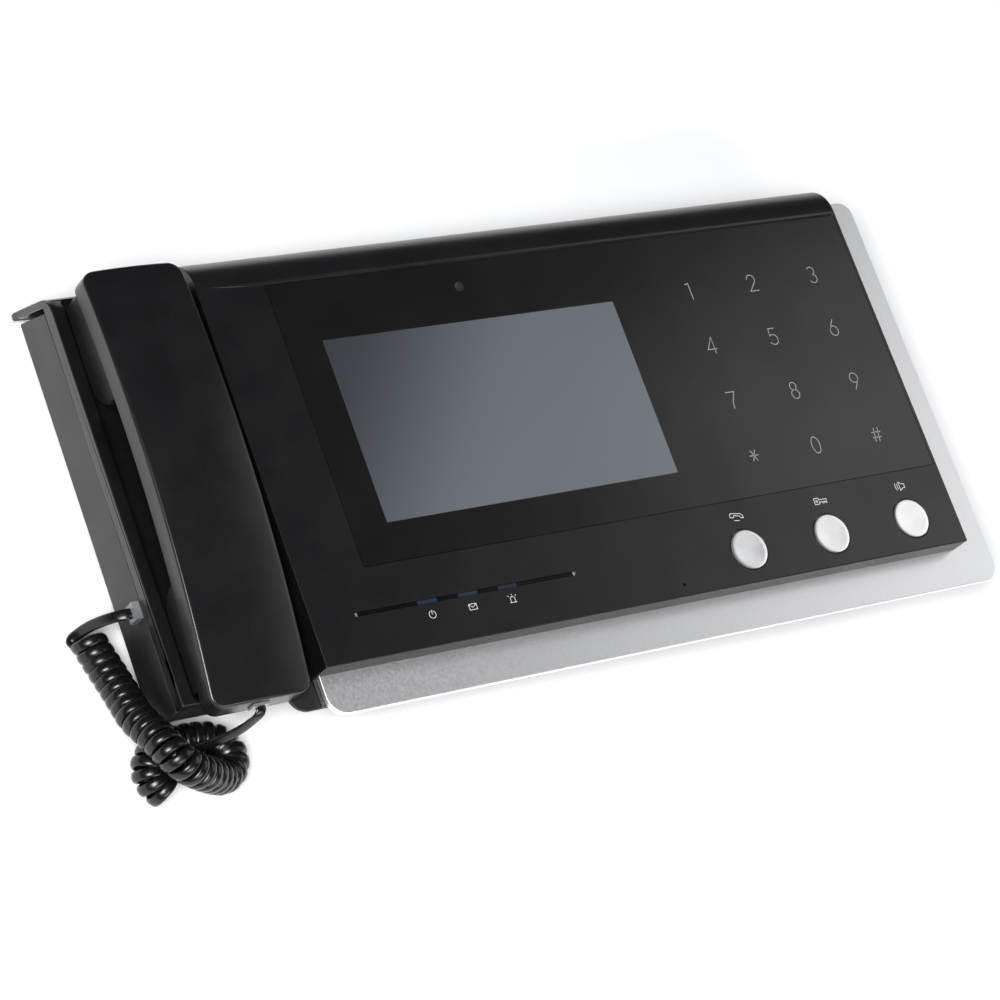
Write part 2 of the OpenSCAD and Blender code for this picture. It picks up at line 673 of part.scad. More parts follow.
module wall_bracket() color(steel) {
    difference() {
        union() {
            translate([0, 0, pad_t]) linear_extrude(bracket_t) {
                bracket_outline(0);
                for (side = [0, 1]) translate([side * (left_x + rear_x1), 0]) mirror([side, 0]) bracket_tab();
            }
            translate([0, 0, pad_t]) linear_extrude(bracket_h) difference() {
                bracket_outline(0);
                bracket_outline(bracket_t);
            }
            for (p = bracket_screw_xy) translate([p[0], p[1], pad_t]) cylinder(d = bracket_post_d, h = bracket_h, $fn = small_fn);
        }
        for (x = [-1, 1]) translate([x * box_screw_dx / 2, 0, 0]) cylinder(d = box_screw_d, h = pad_t + bracket_t + 1, $fn = small_fn);
        for (x = [-1, 1], y = [-1, 1]) translate([x * wall_screw_dx / 2, y * wall_screw_dy / 2, 0])
            cylinder(d = wall_screw_d, h = pad_t + bracket_t + 1, $fn = small_fn);
        for (p = bracket_screw_xy) translate([p[0], p[1], 0]) {
            cylinder(d = bracket_screw_d, h = back_z + 1, $fn = small_fn);
            cylinder(d = screw_head_d + 0.8, h = pad_t + 2.4, $fn = small_fn);
        }
        // Cable opening over the wall box
        box([-25, -45, 0], [25, -14, pad_t + bracket_t + 1]);
    }
}

module bracket_outline(inset) {
    rounded_outline([bracket_x0 + inset, bracket_y0 + inset], [bracket_x1 - inset, bracket_y1 - inset],
        (bracket_r - inset) * [1, 1, 1, 1]);
}

// Hanging tab at the upper left corner, behind the cradle's flange
module bracket_tab() {
    rounded_outline([left_x, flange_end_y - 2.2], [left_x + tab_w, flange_end_y + 2], [0.5, 0, 1, 2.5]);
    rounded_outline([left_x + 8, bracket_y1 - 10], [left_x + tab_w, flange_end_y + 2], [0, 0, 1, 1]);
}

module rubber_pads() color([0.06, 0.06, 0.06]) {
    for (x = [bracket_x0 + pad_in, bracket_x1 - pad_in], y = [bracket_y0 + pad_in, bracket_y1 - pad_in])
        translate([x, y, 0]) cylinder(d = pad_d, h = pad_t, $fn = small_fn);
}

// ---- Cradle, hook switch and loudspeaker ----

module cradle_cover() color(gloss_black) {
    x1 = cover_x0 - fit_gap;
    difference() {
        union() {
            difference() {
                along_x(left_x, x1) hood_profile(cradle_z, cradle_r, flange_end_y, cover_y0, 0);
                // Everything below the pocket's floor
                along_x(left_x - 1, x1 + 1) intersection() {
                    hood_profile(cradle_z, cradle_r, flange_end_y, cover_y0, flange_t);
                    translate([cover_y0, 0]) square([overall_h, floor_z - wall]);
                }
                // Room for the rear cover's walls below the seam
                difference() {
                    union() {
                        along_x(left_x - 1, x1 + 1) rear_profile(seam_z, flange_slot);
                        box([left_x - 1, cover_y0 - 1, 0], [x1 + 1, cradle_roll_y + 4, seam_z]);
                    }
                    box([left_x + wall + fit_gap, cover_y0 + wall + fit_gap, floor_z - wall],
                        [x1 - 1, rear_top_y(seam_z, -wall) - fit_gap, face_z]);
                }
                // Recess over the handset jack
                box([left_x, jack_y - jack_size[1] / 2 - fit_gap, 0],
                    [left_x + wall + jack_size[0] + 0.5, jack_y + jack_size[1] / 2 + fit_gap, jack_z + jack_above + 0.15]);
            }
            for (p = cradle_screw_xy) translate([p[0], p[1], cradle_joint_z])
                cylinder(d = case_boss_d, h = floor_z - cradle_joint_z - 1, $fn = small_fn);
            // Sleeve that guides the hook plunger
            translate([hook_xy[0], hook_xy[1], floor_z - wall - 0.5])
                cylinder(d = plunger_d + 6, h = wall, $fn = small_fn);
        }
        translate([0, 0, floor_z]) linear_extrude(face_z) rounded_outline([pocket_x0, pocket_y0], [pocket_x1, pocket_y1],
            pocket_r * [1, 1, 1, 1]);
        // Handset overhang: the rim is cut down behind both ends of the pocket
        translate([hook_xy[0], hook_xy[1], back_z]) cylinder(d = plunger_d + 2 * plunger_gap, h = face_z, $fn = round_fn);
        translate([hook_xy[0], hook_xy[1], back_z])
            cylinder(d = plunger_flange_d + 0.8, h = floor_z - hook_floor - back_z, $fn = round_fn);
        for (i = [-grille_n:grille_n], j = [-grille_n:grille_n]) if (norm([i, j]) < grille_n + 0.5)
            translate([handset_x + i * grille_step, speaker_y + j * grille_step, back_z])
                cylinder(d = grille_hole_d, h = face_z, $fn = 24);
        for (p = cradle_screw_xy) translate([p[0], p[1], cradle_joint_z - 1])
            cylinder(d = case_hole_d, h = 6, $fn = small_fn);
    }
}

module hook_plunger() color([0.15, 0.15, 0.16]) {
    translate([hook_xy[0], hook_xy[1], 0]) {
        translate([0, 0, plunger_flange_z]) cylinder(d = plunger_d, h = pod_z - 0.1 - plunger_flange_z, $fn = round_fn);
        translate([0, 0, plunger_flange_z]) cylinder(d = plunger_flange_d, h = plunger_flange_t, $fn = round_fn);
    }
}

module hook_spring() color(steel) {
    z0 = hook_board_z + board_t;
    pitch = (plunger_flange_z - z0 - 0.2) / spring_turns;
    translate([hook_xy[0], hook_xy[1], z0 + 0.1]) for (i = [0:spring_turns - 1]) translate([0, 0, i * pitch + spring_wire / 2])
        rotate_extrude($fn = small_fn) translate([plunger_d / 2, 0]) circle(d = spring_wire, $fn = 16);
}

module hook_switch() color([0.1, 0.1, 0.1]) {
    translate([hook_xy[0], hook_xy[1], hook_board_z]) {
        translate([-9, -16, 0]) cube([18, 26, board_t]);
        translate([-4, -14, board_t]) cube([8, 6, 4]);
        cylinder(d = plunger_d - 2, h = board_t + 3, $fn = small_fn);
    }
}

module loudspeaker() color([0.16, 0.16, 0.17]) {
    z1 = floor_z - wall - 0.3;
    translate([handset_x, speaker_y, 0]) {
        translate([0, 0, z1 - 3]) cylinder(d = speaker_d, h = 2, $fn = round_fn);
        translate([0, 0, z1 - 7]) cylinder(d1 = speaker_d / 2, d2 = speaker_d - 5, h = 4 + eps, $fn = round_fn);
        translate([0, 0, z1 - speaker_t]) cylinder(d = speaker_d / 2, h = 4 + eps, $fn = round_fn);
    }
}

module speaker_ring() color([0.06, 0.06, 0.06]) {
    translate([handset_x, speaker_y, floor_z - wall - 1.3]) tube(speaker_d, speaker_d - 5, 1.2);
}

// ---- Boards and sockets ----

module main_board() color(board_green) {
    difference() {
        translate([0, 0, main_z]) linear_extrude(board_t)
            rounded_outline([main_x0, main_y0], [main_x0 + main_w, main_y0 + main_h], [2, 2, 2, 2]);
        for (p = main_hole_xy) translate([p[0], p[1], 0]) cylinder(d = 3.2, h = face_z, $fn = small_fn);
    }
    // Ribbon connectors, memory and power parts
    translate([main_x0 + 20, main_y0 + main_h - 12, main_z + board_t - eps]) cube([40, 6, 3]);
    translate([main_x0 + 100, main_y0 + 40, main_z + board_t - eps]) cube([14, 14, 1.4]);
    translate([main_x0 + 122, main_y0 + 40, main_z + board_t - eps]) cube([14, 14, 1.4]);
    for (i = [0:2]) translate([main_x0 + 112 + i * 12, main_y0 + 78, main_z + board_t - eps])
        cylinder(d = 8, h = 9, $fn = small_fn);
}

module board_shield() color(steel) {
    translate([main_x0 + 40, main_y0 + 48, main_z + board_t]) difference() {
        cube([44, 40, 4]);
        translate([0.6, 0.6, -1]) cube([42.8, 38.8, 4.4]);
    }
}

// Places a socket on the main board, with its mouth in the lower wall
module on_board(at) {
    translate([main_x0 + at, cover_y0 + 0.2, main_z + board_t]) children();
}

module ethernet_jack() color(steel) {
    s = ethernet_size;
    h = ethernet_hole;
    on_board(ethernet_at) difference() {
        cube(s);
        translate([(s[0] - h[0]) / 2, -1, 2.5]) cube([h[0], h[1] + 1, h[2]]);
    }
}

module power_jack() color([0.08, 0.08, 0.08]) {
    s = power_size;
    on_board(power_at) {
        difference() {
            cube(s);
            translate([s[0] / 2, 9, s[2] / 2]) rotate([90, 0, 0]) cylinder(d = power_hole_d, h = 10, $fn = small_fn);
        }
        translate([s[0] / 2, 9 + eps, s[2] / 2]) rotate([90, 0, 0]) cylinder(d = power_pin_d, h = 8, $fn = small_fn);
    }
}

module terminal_block() color([0.1, 0.45, 0.2]) {
    s = terminal_size;
    on_board(terminal_at) difference() {
        cube(s);
        for (i = [0:terminal_n - 1]) {
            x = 0.5 + (i + 0.5) * terminal_pitch;
            translate([x - 1.3, -1, 2.5]) cube([2.6, 6, 2.8]);
            translate([x, 7, 5]) cylinder(d = 2.4, h = 5, $fn = 24);
        }
    }
}

module handset_jack() color([0.9, 0.88, 0.8]) {
    s = jack_size;
    translate([left_x + wall, jack_y, jack_z]) difference() {
        translate([0.05, -s[1] / 2, -jack_below]) cube([s[0], s[1], jack_below + jack_above]);
        translate([-1, -plug_w / 2 - jack_clear, -plug_h / 2 - jack_clear])
            cube([plug_in, plug_w + 2 * jack_clear, plug_h + 2 * jack_clear]);
    }
}

// ---- Fasteners ----

module case_screws() color(steel) {
    for (p = case_screw_xy) translate([p[0], p[1], case_joint_z - screw_web - 2]) pan_screw(10);
    for (p = cradle_screw_xy) translate([p[0], p[1], cradle_joint_z - screw_web - 2]) pan_screw(7);
}

module board_screws() color(steel) {
    for (p = main_hole_xy) translate([p[0], p[1], main_z + board_t + 2]) mirror([0, 0, 1]) pan_screw(7);
}

module bracket_screws() color(steel) {
    for (p = bracket_screw_xy) translate([p[0], p[1], pad_t + 0.4]) pan_screw(10);
}

// ---- Handset ----

// Ring sector around the arch's axis: from r0 to r1, with the width w, and a crown if r1 carries one
module arch_band(r0, r1, w, crown) {
    translate([handset_x, arch_c[0], arch_c[1]]) rotate([0, -90, 0]) rotate([0, 0, -14])
        rotate_extrude(angle = 28, $fn = 720) intersection() {
            translate([r0, -w / 2]) square([r1 - r0 + 6, w]);
            if (crown) translate([crown_top(r1, w) - crown_r, 0]) circle(r = crown_r, $fn = 360);
            if (!crown) translate([r0, -w]) square([r1 - r0, 2 * w]);
        }
}
// Radius at the middle of a crown whose edges are at the radius r1
function crown_top(r1, w) = r1 + crown_r - sqrt(crown_r * crown_r - w * w / 4);

// Rounded plan of the handset, made smaller all round by the inset
module handset_plan(inset) {
    translate([0, 0, -1]) linear_extrude(face_z + 60) rounded_outline(
        [handset_x - handset_w / 2 + inset, handset_y0 + inset],
        [handset_x + handset_w / 2 - inset, handset_y0 + handset_l - inset], max(handset_r - inset, 0.5) * [1, 1, 1, 1]);
}

module handset_front() color(gloss_black) {
    difference() {
        union() {
            difference() {
                intersection() {
                    arch_band(arch_r - band_d, arch_r, handset_w, true);
                    handset_plan(0);
                }
                intersection() {
                    arch_band(arch_r - band_d - 1, arch_r - shell_t, handset_w - 2 * shell_t, true);
                    handset_plan(shell_t);
                }
            }
            // Screw bosses that reach down into the pods
            intersection() {
                for (p = handset_screw_xy) translate([p[0], p[1], handset_boss_z])
                    cylinder(d = 6, h = face_z, $fn = small_fn);
                arch_band(arch_r - 40, arch_r, handset_w, false);
            }
        }
        for (p = handset_screw_xy) translate([p[0], p[1], handset_boss_z - 1])
            cylinder(d = case_hole_d, h = 7, $fn = small_fn);
        handset_plug_cut();
    }
}

// Side section of a pod: flat back, round inner end and straight outer end
module pod_profile(y0, y1, inner_low, inset) {
    z0 = pod_z + inset;
    z1 = face_z;
    r = pod_r - inset;
    round_y = inner_low ? y0 + inset + r : y1 - inset - r;
    flat = inner_low ? [y0 + inset + r, y1 - inset] : [y0 + inset, y1 - inset - r];
    translate([flat[0], z0]) square([flat[1] - flat[0], z1 - z0]);
    translate([inner_low ? y0 + inset : y0 + inset, z0 + r]) square([y1 - y0 - 2 * inset, z1 - z0 - r]);
    translate([round_y, z0 + r]) circle(r = r, $fn = round_fn);
}

module pod_pair(inset) {
    w = pod_w / 2 - inset;
    intersection() {
        along_x(handset_x - w, handset_x + w) {
            pod_profile(ear_y1 - ear_pod_l, ear_y1, true, inset);
            pod_profile(mouth_y0, mouth_y0 + mouth_pod_l, false, inset);
        }
        arch_band(arch_r - 60, arch_r - band_d, pod_w, false);
    }
}

module handset_back() color(satin_black) {
    difference() {
        union() {
            pod_pair(0);
            intersection() {
                arch_band(arch_r - band_d - handle_d, arch_r - band_d, handset_w - 3, false);
                handset_plan(1.8);
            }
        }
        difference() {
            pod_pair(shell_t);
            for (p = handset_screw_xy) translate([p[0], p[1], 0]) cylinder(d = 7, h = handset_boss_z, $fn = small_fn);
        }
        // Clearance over the cradle's rim at the lower end
        box([handset_x - handset_w, handset_y0 - 1, 0],
            [handset_x + handset_w, pocket_y0 + fit_gap, cradle_z + fit_gap]);
        for (i = [0:5]) {
            translate([handset_x + 5 * cos(i * 60), ear_y + 5 * sin(i * 60), 0]) cylinder(d = 2, h = pod_z + 4, $fn = 24);
            translate([handset_x + 4 * cos(i * 60), mouth_y + 4 * sin(i * 60), 0]) cylinder(d = 1.6, h = pod_z + 4, $fn = 24);
        }
        translate([handset_x, ear_y, 0]) cylinder(d = 2, h = pod_z + 4, $fn = 24);
        for (p = handset_screw_xy) translate([p[0], p[1], 0]) {
            cylinder(d = screw_head_d, h = pod_z + 2.2, $fn = small_fn);
            cylinder(d = screw_shaft_d + 0.2, h = face_z, $fn = small_fn);
        }
        handset_plug_cut();
        box([handset_x - 5.9, handset_y0 + shell_t - 0.2, handset_plug_z - 4.5],
            [handset_x + 5.9, handset_y0 + 12.4, face_z]);
    }
}

// Opening for the cord's plug in the handset's lower end
module handset_plug_cut() {
    box([handset_x - plug_w / 2 - jack_clear, handset_y0 - 1, handset_plug_z - plug_h / 2 - jack_clear],
        [handset_x + plug_w / 2 + jack_clear, handset_y0 + 8, handset_plug_z + plug_h / 2 + jack_clear]);
}

module receiver() color([0.2, 0.2, 0.22]) {
    translate([handset_x, ear_y, pod_z + shell_t + 0.1]) {
        cylinder(d = capsule_d, h = 5, $fn = round_fn);
        cylinder(d = capsule_d - 12, h = 8, $fn = round_fn);
    }
}

module handset_mic() color([0.2, 0.2, 0.22]) {
    translate([handset_x, mouth_y, pod_z + shell_t + 0.1]) cylinder(d = 9.7, h = 5, $fn = small_fn);
}

module handset_weight() color(steel) {
    translate([handset_x - 12, mouth_y + 5.8, pod_z + shell_t + 0.1]) cube([24, 7, 5]);
}

module handset_socket() color([0.9, 0.88, 0.8]) {
    difference() {
        box([handset_x - 5.5, handset_y0 + shell_t + 0.1, handset_plug_z - 4.2],
            [handset_x + 5.5, handset_y0 + 12, handset_plug_z + 3.6]);
        box([handset_x - plug_w / 2 - jack_clear, handset_y0 - 1, handset_plug_z - plug_h / 2 - jack_clear],
            [handset_x + plug_w / 2 + jack_clear, handset_y0 + 9, handset_plug_z + plug_h / 2 - 0.5]);
    }
}

module handset_screws() color(steel) {
    for (p = handset_screw_xy) translate([p[0], p[1], pod_z + 0.2]) pan_screw(10);
}

// ---- Cord and plugs ----

module base_plug() color([0.85, 0.87, 0.9, 0.6]) {
    translate([left_x - base_plug_out, jack_y - plug_w / 2, jack_z - plug_h / 2])
        cube([plug_in + base_plug_out - 1, plug_w, plug_h]);
}

module handset_plug() color([0.85, 0.87, 0.9, 0.6]) {
    translate([handset_x - plug_w / 2, handset_y0 - handset_plug_out, handset_plug_z - plug_h / 2])
        cube([plug_w, 8 + handset_plug_out, plug_h - 1]);
}

function unit(v) = v / norm(v);
// Direction of a route at its point i
function heading(route, i) =
    unit(route[min(i + 1, len(route) - 1)] - route[max(i - 1, 0)]);

// Solid of an oval section, w wide and t thick, along a route
module swept(route, w, t, sides) {
    n = len(route);
    points = [
        for (i = [0:n - 1]) let (
            d = heading(route, i),
            across = unit(cross(d, [0, 0.02, 1])),
            out = cross(across, d)
        ) for (k = [0:sides - 1]) let (a = 360 * k / sides)
            route[i] + across * (w / 2 * cos(a)) + out * (t / 2 * sin(a))
    ];
    sides_faces = [
        for (i = [0:n - 2], k = [0:sides - 1]) let (a = i * sides + k, b = i * sides + (k + 1) % sides)
            for (f = [[a, b, b + sides], [a, b + sides, a + sides]]) f
    ];
    ends = [[for (k = [sides - 1:-1:0]) k], [for (k = [0:sides - 1]) (n - 1) * sides + k]];
    polyhedron(points, concat(sides_faces, ends));
}

module base_lead() color(gloss_black) swept(base_route, flat_w, flat_t, 8);
module curly_cord() color(gloss_black) swept(coil_route, coil_d, coil_d, 12);
module handset_lead() color(gloss_black) swept(handset_route, flat_w, flat_t, 8);

front_cover();
touch_glass();
lcd_panel();
lcd_bracket();
touch_board();
main_board();
board_shield();
sensor_lens();
microphone();
mic_boot();
call_button();
unlock_button();
speaker_button();
button_board();
button_switches();
light_bar();
led_board();
loudspeaker();
speaker_ring();
trim_plate();
backing_frame();
rear_cover();
wall_bracket();
rubber_pads();
cradle_cover();
hook_plunger();
hook_spring();
hook_switch();
handset_jack();
ethernet_jack();
power_jack();
terminal_block();
case_screws();
board_screws();
bracket_screws();
handset_front();
handset_back();
receiver();
handset_mic();
handset_weight();
handset_socket();
handset_screws();
base_plug();
base_lead();
curly_cord();
handset_lead();
handset_plug();
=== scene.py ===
import math

import bmesh
import bpy
import numpy as np
from mathutils import Matrix, Vector


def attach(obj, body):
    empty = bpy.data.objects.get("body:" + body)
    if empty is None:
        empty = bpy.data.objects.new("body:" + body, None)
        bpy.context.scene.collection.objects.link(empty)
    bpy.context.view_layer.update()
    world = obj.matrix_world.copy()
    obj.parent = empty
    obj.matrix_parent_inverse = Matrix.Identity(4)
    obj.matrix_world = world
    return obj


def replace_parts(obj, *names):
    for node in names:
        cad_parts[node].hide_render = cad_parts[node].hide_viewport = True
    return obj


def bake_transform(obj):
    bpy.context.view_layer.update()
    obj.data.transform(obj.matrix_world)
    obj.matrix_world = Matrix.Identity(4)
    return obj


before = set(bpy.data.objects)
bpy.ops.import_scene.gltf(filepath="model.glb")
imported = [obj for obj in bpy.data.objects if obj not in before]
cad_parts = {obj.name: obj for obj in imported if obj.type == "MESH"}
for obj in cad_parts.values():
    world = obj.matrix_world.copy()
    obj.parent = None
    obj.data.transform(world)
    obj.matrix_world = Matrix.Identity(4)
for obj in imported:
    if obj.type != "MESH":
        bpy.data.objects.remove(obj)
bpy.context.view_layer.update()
MM = 0.001


# ---- Camera, lights and floor ----

def camera():
    """Looks at the monitor from the left, below and above, rolled as in the photograph."""
    right = Vector((0.825, -0.3314, 0.4577)).normalized()
    back = Vector((-0.547, -0.2651, 0.794))
    back = (back - right * back.dot(right)).normalized()
    up = back.cross(right)
    data = bpy.data.cameras.new("camera")
    data.lens, data.sensor_width = 118.6, 36
    data.clip_start, data.clip_end = 0.05, 50
    cam = bpy.data.objects.new("camera", data)
    turn = Matrix((right, up, back)).transposed().to_4x4()
    cam.matrix_world = Matrix.Translation((-0.8231, -0.4094, 1.1823)) @ turn
    bpy.context.scene.collection.objects.link(cam)
    bpy.context.scene.camera = cam


def area_light(name, place, target, size, power):
    data = bpy.data.lights.new(name, "AREA")
    data.shape, (data.size, data.size_y) = "RECTANGLE", size
    data.energy = power
    lamp = bpy.data.objects.new(name, data)
    lamp.location = place
    lamp.rotation_mode = "QUATERNION"
    lamp.rotation_quaternion = (Vector(target) - Vector(place)).to_track_quat("-Z", "Y")
    bpy.context.scene.collection.objects.link(lamp)


def studio():
    """Soft lights, with one large card that shows in the face and in the silver parts, over a pale floor."""
    world = bpy.data.worlds.new("studio")
    world.use_nodes = True
    world.node_tree.nodes["Background"].inputs[0].default_value = (0.9, 0.95, 1.0, 1)
    world.node_tree.nodes["Background"].inputs[1].default_value = 0.10
    bpy.context.scene.world = world
    area_light("reflection_card", (1.55, 0.0, 1.05), (0.0, 0.0, 0.05), (1.25, 1.25), 6.6)
    area_light("softbox_left", (-1.3, -0.5, 1.7), (0.0, 0.0, 0.0), (0.9, 0.9), 70)
    area_light("front_fill", (0.1, -2.0, 1.3), (0.0, 0.0, 0.0), (1.6, 0.7), 26)
    floor = new_object("floor", *grid_plane(6.0), None)
    floor.data.materials.append(floor_paper())
    bpy.context.scene.view_settings.view_transform = "Standard"


def grid_plane(half):
    return [(-half, -half, 0), (half, -half, 0), (half, half, 0), (-half, half, 0)], [(0, 1, 2, 3)]


# ---- Mesh helpers ----

def new_object(name, verts, faces, body, materials=(), smooth=35):
    mesh = bpy.data.meshes.new(name)
    mesh.from_pydata([tuple(v) for v in verts], [], [tuple(f) for f in faces])
    mesh.validate()
    return finish_object(name, mesh, body, materials, smooth)


def finish_object(name, mesh, body, materials=(), smooth=35):
    """Links the mesh as an object, with smooth shading below the given angle, riding on its body."""
    if smooth:
        mesh.polygons.foreach_set("use_smooth", [True] * len(mesh.polygons))
        mesh.set_sharp_from_angle(angle=math.radians(smooth))
    for m in materials:
        mesh.materials.append(m)
    obj = bpy.data.objects.new(name, mesh)
    bpy.context.scene.collection.objects.link(obj)
    if body:
        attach(obj, body)
    return obj


def clean_bmesh(node):
    """The CAD node's mesh with its flat triangles joined into polygons."""
    bm = bmesh.new()
    bm.from_mesh(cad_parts[node].data)
    bmesh.ops.remove_doubles(bm, verts=bm.verts, dist=2e-6)
    bmesh.ops.dissolve_limit(bm, angle_limit=math.radians(0.4), verts=bm.verts, edges=bm.edges)
    return bm


def mesh_object(name, bm, body, mats):
    mesh = bpy.data.meshes.new(name)
    bm.to_mesh(mesh)
    bm.free()
    return finish_object(name, mesh, body, mats)


def cut_across(bm, place, axis):
    """Cuts every face at a plane through a place in millimetres, across the axis."""
    bmesh.ops.bisect_plane(bm, geom=bm.verts[:] + bm.edges[:] + bm.faces[:], dist=1e-6,
                           plane_co=Vector(place) * MM, plane_no=Vector(axis))


def near(a, b):
    return abs(a - b) < 0.25


def refined(node, mats, bevel, pick=None, body="monitor"):
    """The CAD node as clean polygons, with its picked sharp edges rounded by the bevel in millimetres."""
    bm = clean_bmesh(node)
    bmesh.ops.recalc_face_normals(bm, faces=bm.faces)
    weight = bm.edges.layers.float.new("bevel_weight_edge")
    for e in bm.edges:
        if len(e.link_faces) == 2 and e.calc_face_angle(0) > math.radians(40):
            middle = (e.verts[0].co + e.verts[1].co) / 2 / MM
            e[weight] = 1.0 if pick is None else float(pick(middle) or 0)
    obj = mesh_object(node + "_fine", bm, body, mats)
    m = obj.modifiers.new("edges", "BEVEL")
    m.width, m.segments, m.limit_method = bevel * MM, 3, "WEIGHT"
    m.use_clamp_overlap, m.harden_normals = pick is None, True
    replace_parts(obj, node)


def catmull(points, step):
    """Evenly spaced points of the smooth curve through the given ones."""
    p = np.array(points, float)
    p = np.vstack([2 * p[0] - p[1], p, 2 * p[-1] - p[-2]])
    fine = []
    for i in range(1, len(p) - 2):
        t = np.linspace(0, 1, 40, endpoint=False)[:, None]
        a, b, c, d = p[i - 1], p[i], p[i + 1], p[i + 2]
        fine.append(0.5 * (2 * b + (c - a) * t + (2 * a - 5 * b + 4 * c - d) * t**2
                           + (3 * b - a - 3 * c + d) * t**3))
    fine = np.vstack(fine + [p[-2][None]])
    s = np.concatenate([[0], np.cumsum(np.linalg.norm(np.diff(fine, axis=0), axis=1))])
    n = max(2, round(s[-1] / step))
    at = np.linspace(0, s[-1], n + 1)
    return np.column_stack([np.interp(at, s, fine[:, k]) for k in range(3)])


def tangents(p):
    t = np.gradient(p, axis=0)
    return t / np.linalg.norm(t, axis=1)[:, None]


# ---- Materials ----

class Shader:
    """Builds one node material: a Principled shader with helpers for noise, ramps and bumps."""

    def __init__(self, name):
        self.mat = bpy.data.materials.new(name)
        self.mat.use_nodes = True
        self.nodes, self.links = self.mat.node_tree.nodes, self.mat.node_tree.links
        self.bsdf = self.nodes["Principled BSDF"]
        self.place = self.nodes.new("ShaderNodeTexCoord").outputs["Object"]

    def set(self, **values):
        for key, value in values.items():
            socket = self.bsdf.inputs[key.replace("_", " ")]
            if hasattr(value, "is_linked"):
                self.links.new(value, socket)
            else:
                socket.default_value = (*value, 1) if isinstance(value, tuple) and len(value) == 3 else value
        return self

    def node(self, kind, inputs=(), **settings):
        n = self.nodes.new("ShaderNode" + kind)
        for key, value in settings.items():
            setattr(n, key, value)
        for key, value in dict(inputs).items():
            if hasattr(value, "is_linked"):
                self.links.new(value, n.inputs[key])
            else:
                n.inputs[key].default_value = value
        return n

    def noise(self, scale, detail=3, stretch=(1, 1, 1)):
        m = self.node("Mapping", {"Vector": self.place, "Scale": stretch})
        return self.node("TexNoise", {"Vector": m.outputs[0], "Scale": scale, "Detail": detail}).outputs["Fac"]

    def ramp(self, value, low, high, start=0.0, end=1.0):
        """Maps value from start..end to low..high, which are numbers or colours."""
        if isinstance(low, tuple):
            r = self.node("ValToRGB", {"Fac": value})
            r.color_ramp.elements[0].position, r.color_ramp.elements[1].position = start, end
            r.color_ramp.elements[0].color, r.color_ramp.elements[1].color = (*low, 1), (*high, 1)
            return r.outputs[0]
        m = self.node("MapRange", {"Value": value, "From Min": start, "From Max": end, "To Min": low, "To Max": high})
        return m.outputs[0]

    def bump(self, height, strength, distance):
        self.set(Normal=self.node("Bump", {"Height": height, "Strength": strength, "Distance": distance}).outputs[0])
        return self


def floor_paper():
    s = Shader("floor_paper")
    s.set(Base_Color=s.ramp(s.noise(3), (0.86, 0.865, 0.875), (0.90, 0.90, 0.905)), Roughness=0.85)
    s.set(Specular_IOR_Level=0.15)
    return s.mat


def moulded(name, dark, light, rough=(0.34, 0.40), grain=0.05, scale=2600):
    """Moulded plastic: faint mottling, uneven gloss and a fine spark-eroded grain."""
    s = Shader(name)
    s.set(Base_Color=s.ramp(s.noise(60, 4), dark, light, 0.35, 0.65),
          Roughness=s.ramp(s.noise(25, 4), *rough, 0.35, 0.65))
    if grain:
        s.bump(s.noise(scale, 2), grain, 0.00008)
    return s.mat


def metal(name, colour, rough, stretch=(1, 1, 1), scale=900, grain=0.05):
    """Metal with a fine brush or blasted grain in its gloss."""
    s = Shader(name)
    n = s.noise(scale, 4, stretch)
    s.set(Metallic=1.0, Base_Color=s.ramp(n, tuple(c * 0.94 for c in colour), colour, 0.3, 0.7),
          Roughness=s.ramp(n, rough - 0.05, rough + 0.06, 0.3, 0.7))
    return s.bump(n, grain, 0.00005).mat


def spun_metal(centre):
    """Spun disc: fine rings round the centre and a highlight that fans out from it."""
    s = Shader("spun_metal")
    m = s.node("Mapping", {"Vector": s.place, "Location": tuple(-c for c in centre)})
    rings = s.node("TexWave", {"Vector": m.outputs[0], "Scale": 900, "Distortion": 1.5, "Detail": 3},
                   wave_type="RINGS", rings_direction="Z").outputs["Fac"]
    s.set(Metallic=1.0, Base_Color=s.ramp(rings, (0.80, 0.80, 0.81), (0.92, 0.92, 0.92)),
          Roughness=s.ramp(rings, 0.24, 0.34), Anisotropic=0.5,
          Tangent=s.node("Tangent", direction_type="RADIAL", axis="Z").outputs[0])
    return s.bump(rings, 0.05, 0.00003).mat


# ---- Curly cord ----

COIL_ROUTE = [
    (-231, -47.5, 7.8), (-229, -55.5, 8), (-227.6, -63, 9.3), (-226.6, -70.5, 11.3), (-226.1, -78, 13.8),
    (-226, -85.5, 17.3), (-224.5, -92.5, 21.3), (-222.9, -98.8, 24.8), (-221.2, -104.4, 26.8),
    (-218.6, -109.2, 27.1), (-214, -112.9, 25.3), (-207.5, -115, 21.3), (-201, -115.8, 16.3),
    (-195, -115.8, 11.3), (-190, -114.5, 8.6), (-186.2, -111, 7.8), (-185.5, -106.2, 7.8),
    (-188, -101.6, 7.8), (-193, -98.6, 7.8), (-199.5, -97.6, 7.8), (-206.5, -97.6, 7.8),
    (-213.5, -98.4, 7.8), (-219, -100.6, 7.8), (-222.3, -104.4, 7.8), (-223, -109.2, 7.8),
    (-221.8, -113, 7.8), (-219.4, -116, 7.8),
]
BASE_ROUTE = [
    (-218.5, -45, 27.2), (-221, -45, 27), (-224.5, -44.4, 24.6), (-228, -43.6, 19.5), (-231, -43, 13.5),
    (-233.6, -43.2, 7.6), (-236.2, -44.6, 4), (-236, -47.4, 3.8), (-234, -50, 4),
]
